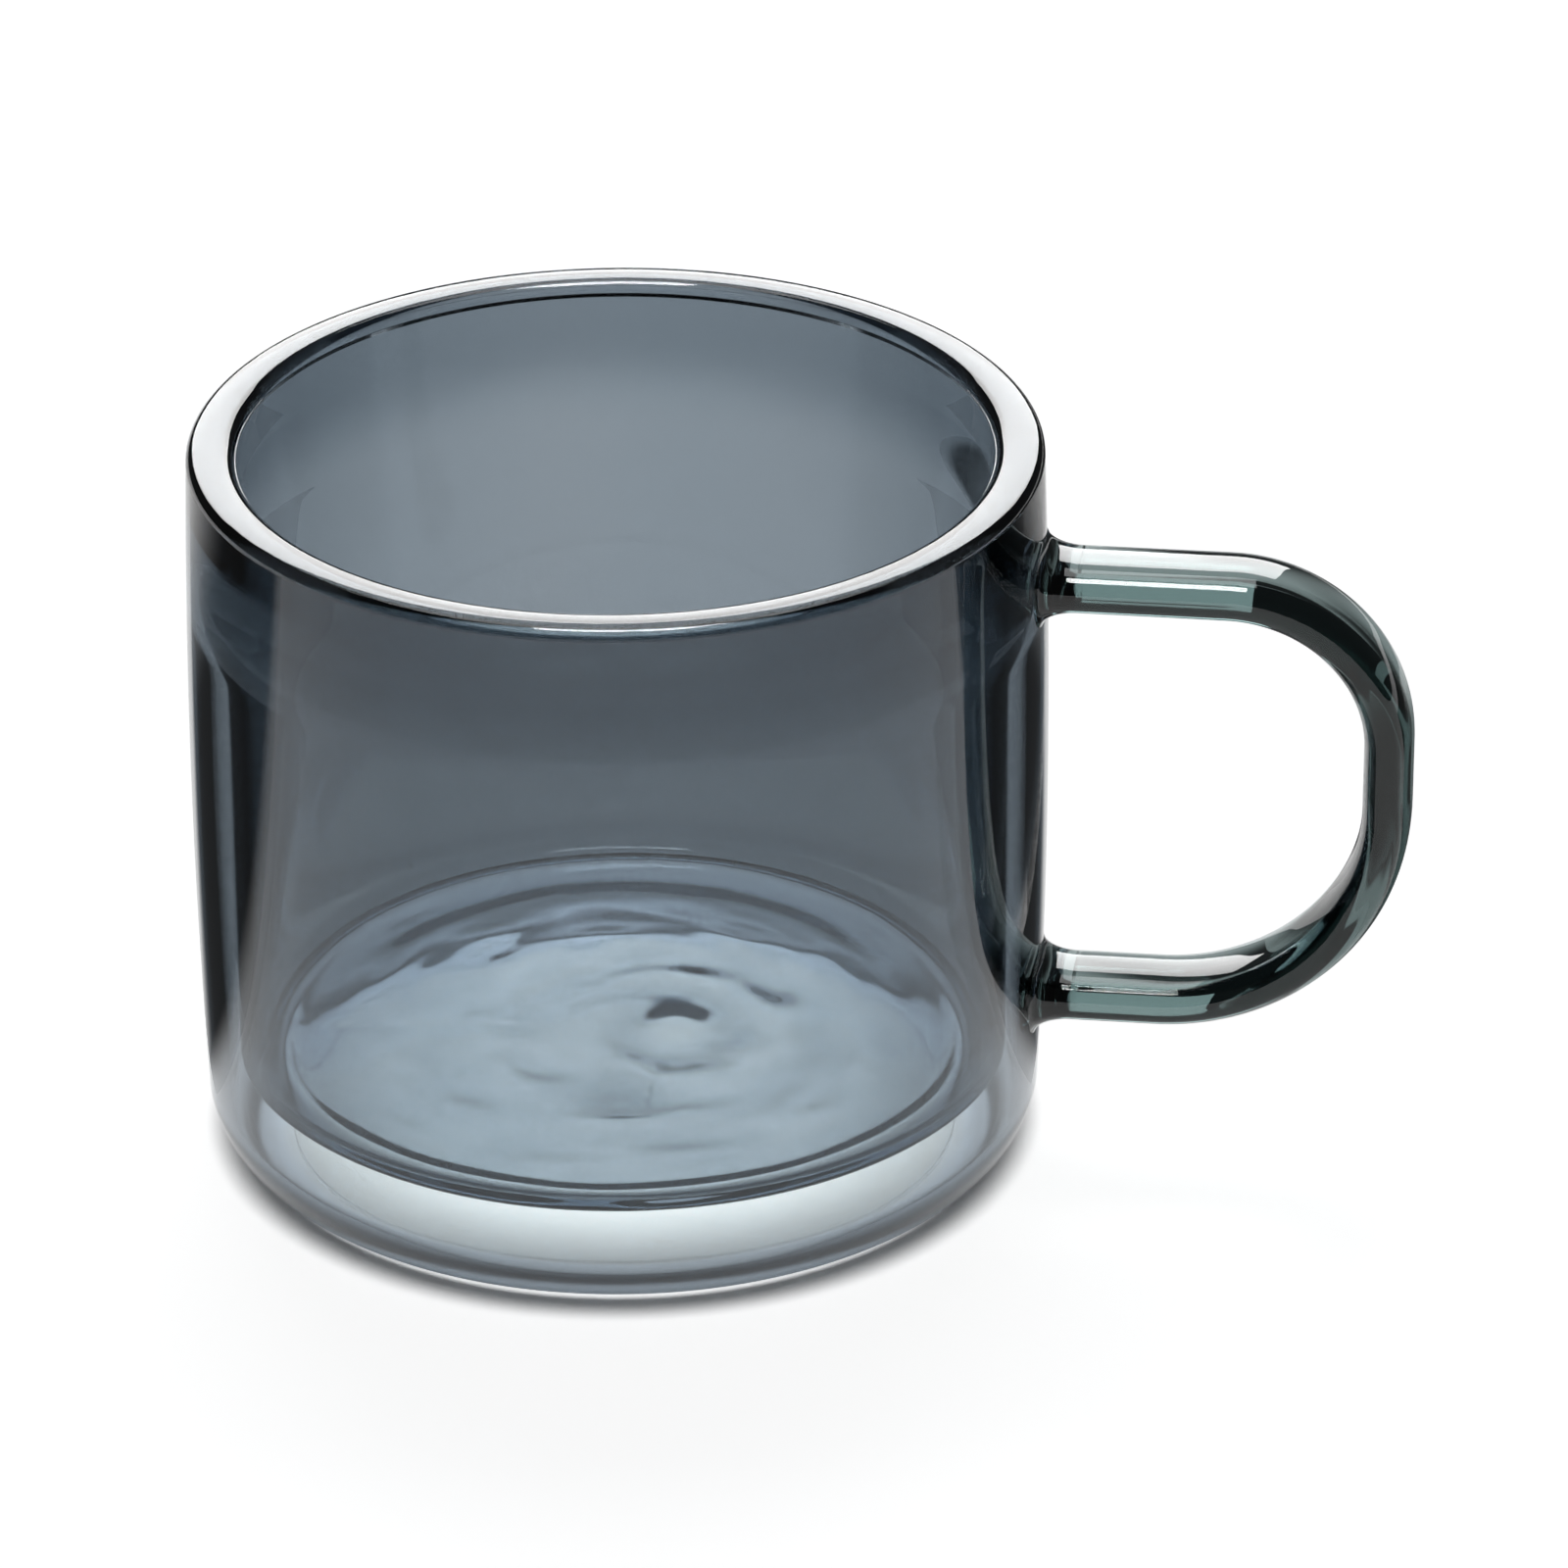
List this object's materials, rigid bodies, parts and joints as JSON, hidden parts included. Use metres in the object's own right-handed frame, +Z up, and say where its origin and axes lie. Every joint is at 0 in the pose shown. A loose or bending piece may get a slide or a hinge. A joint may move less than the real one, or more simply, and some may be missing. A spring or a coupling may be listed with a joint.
{
  "type": "double walled glass cup",
  "caption": "Smoke tinted double walled glass cup with a rounded lip, a straight inner cup inside a gently bulging outer wall, and a flattened D shaped glass handle.",
  "frame": {"origin": "middle of the flat base, where the cup's axis meets the table", "axes": "+Z up along the cup's axis, +X out through the handle"},
  "size_m": [0.1225, 0.086, 0.0755],
  "materials": {
    "smoke_glass": "gloss",
    "handle_glass": "gloss"
  },
  "bodies": {
    "root": {"outer_wall": "smoke_glass", "outer_base": "smoke_glass", "vent_seal": "smoke_glass", "inner_cup": "smoke_glass", "rim_bead": "smoke_glass", "handle": "handle_glass", "upper_handle_weld": "handle_glass", "lower_handle_weld": "handle_glass"}
  },
  "joints": []
}
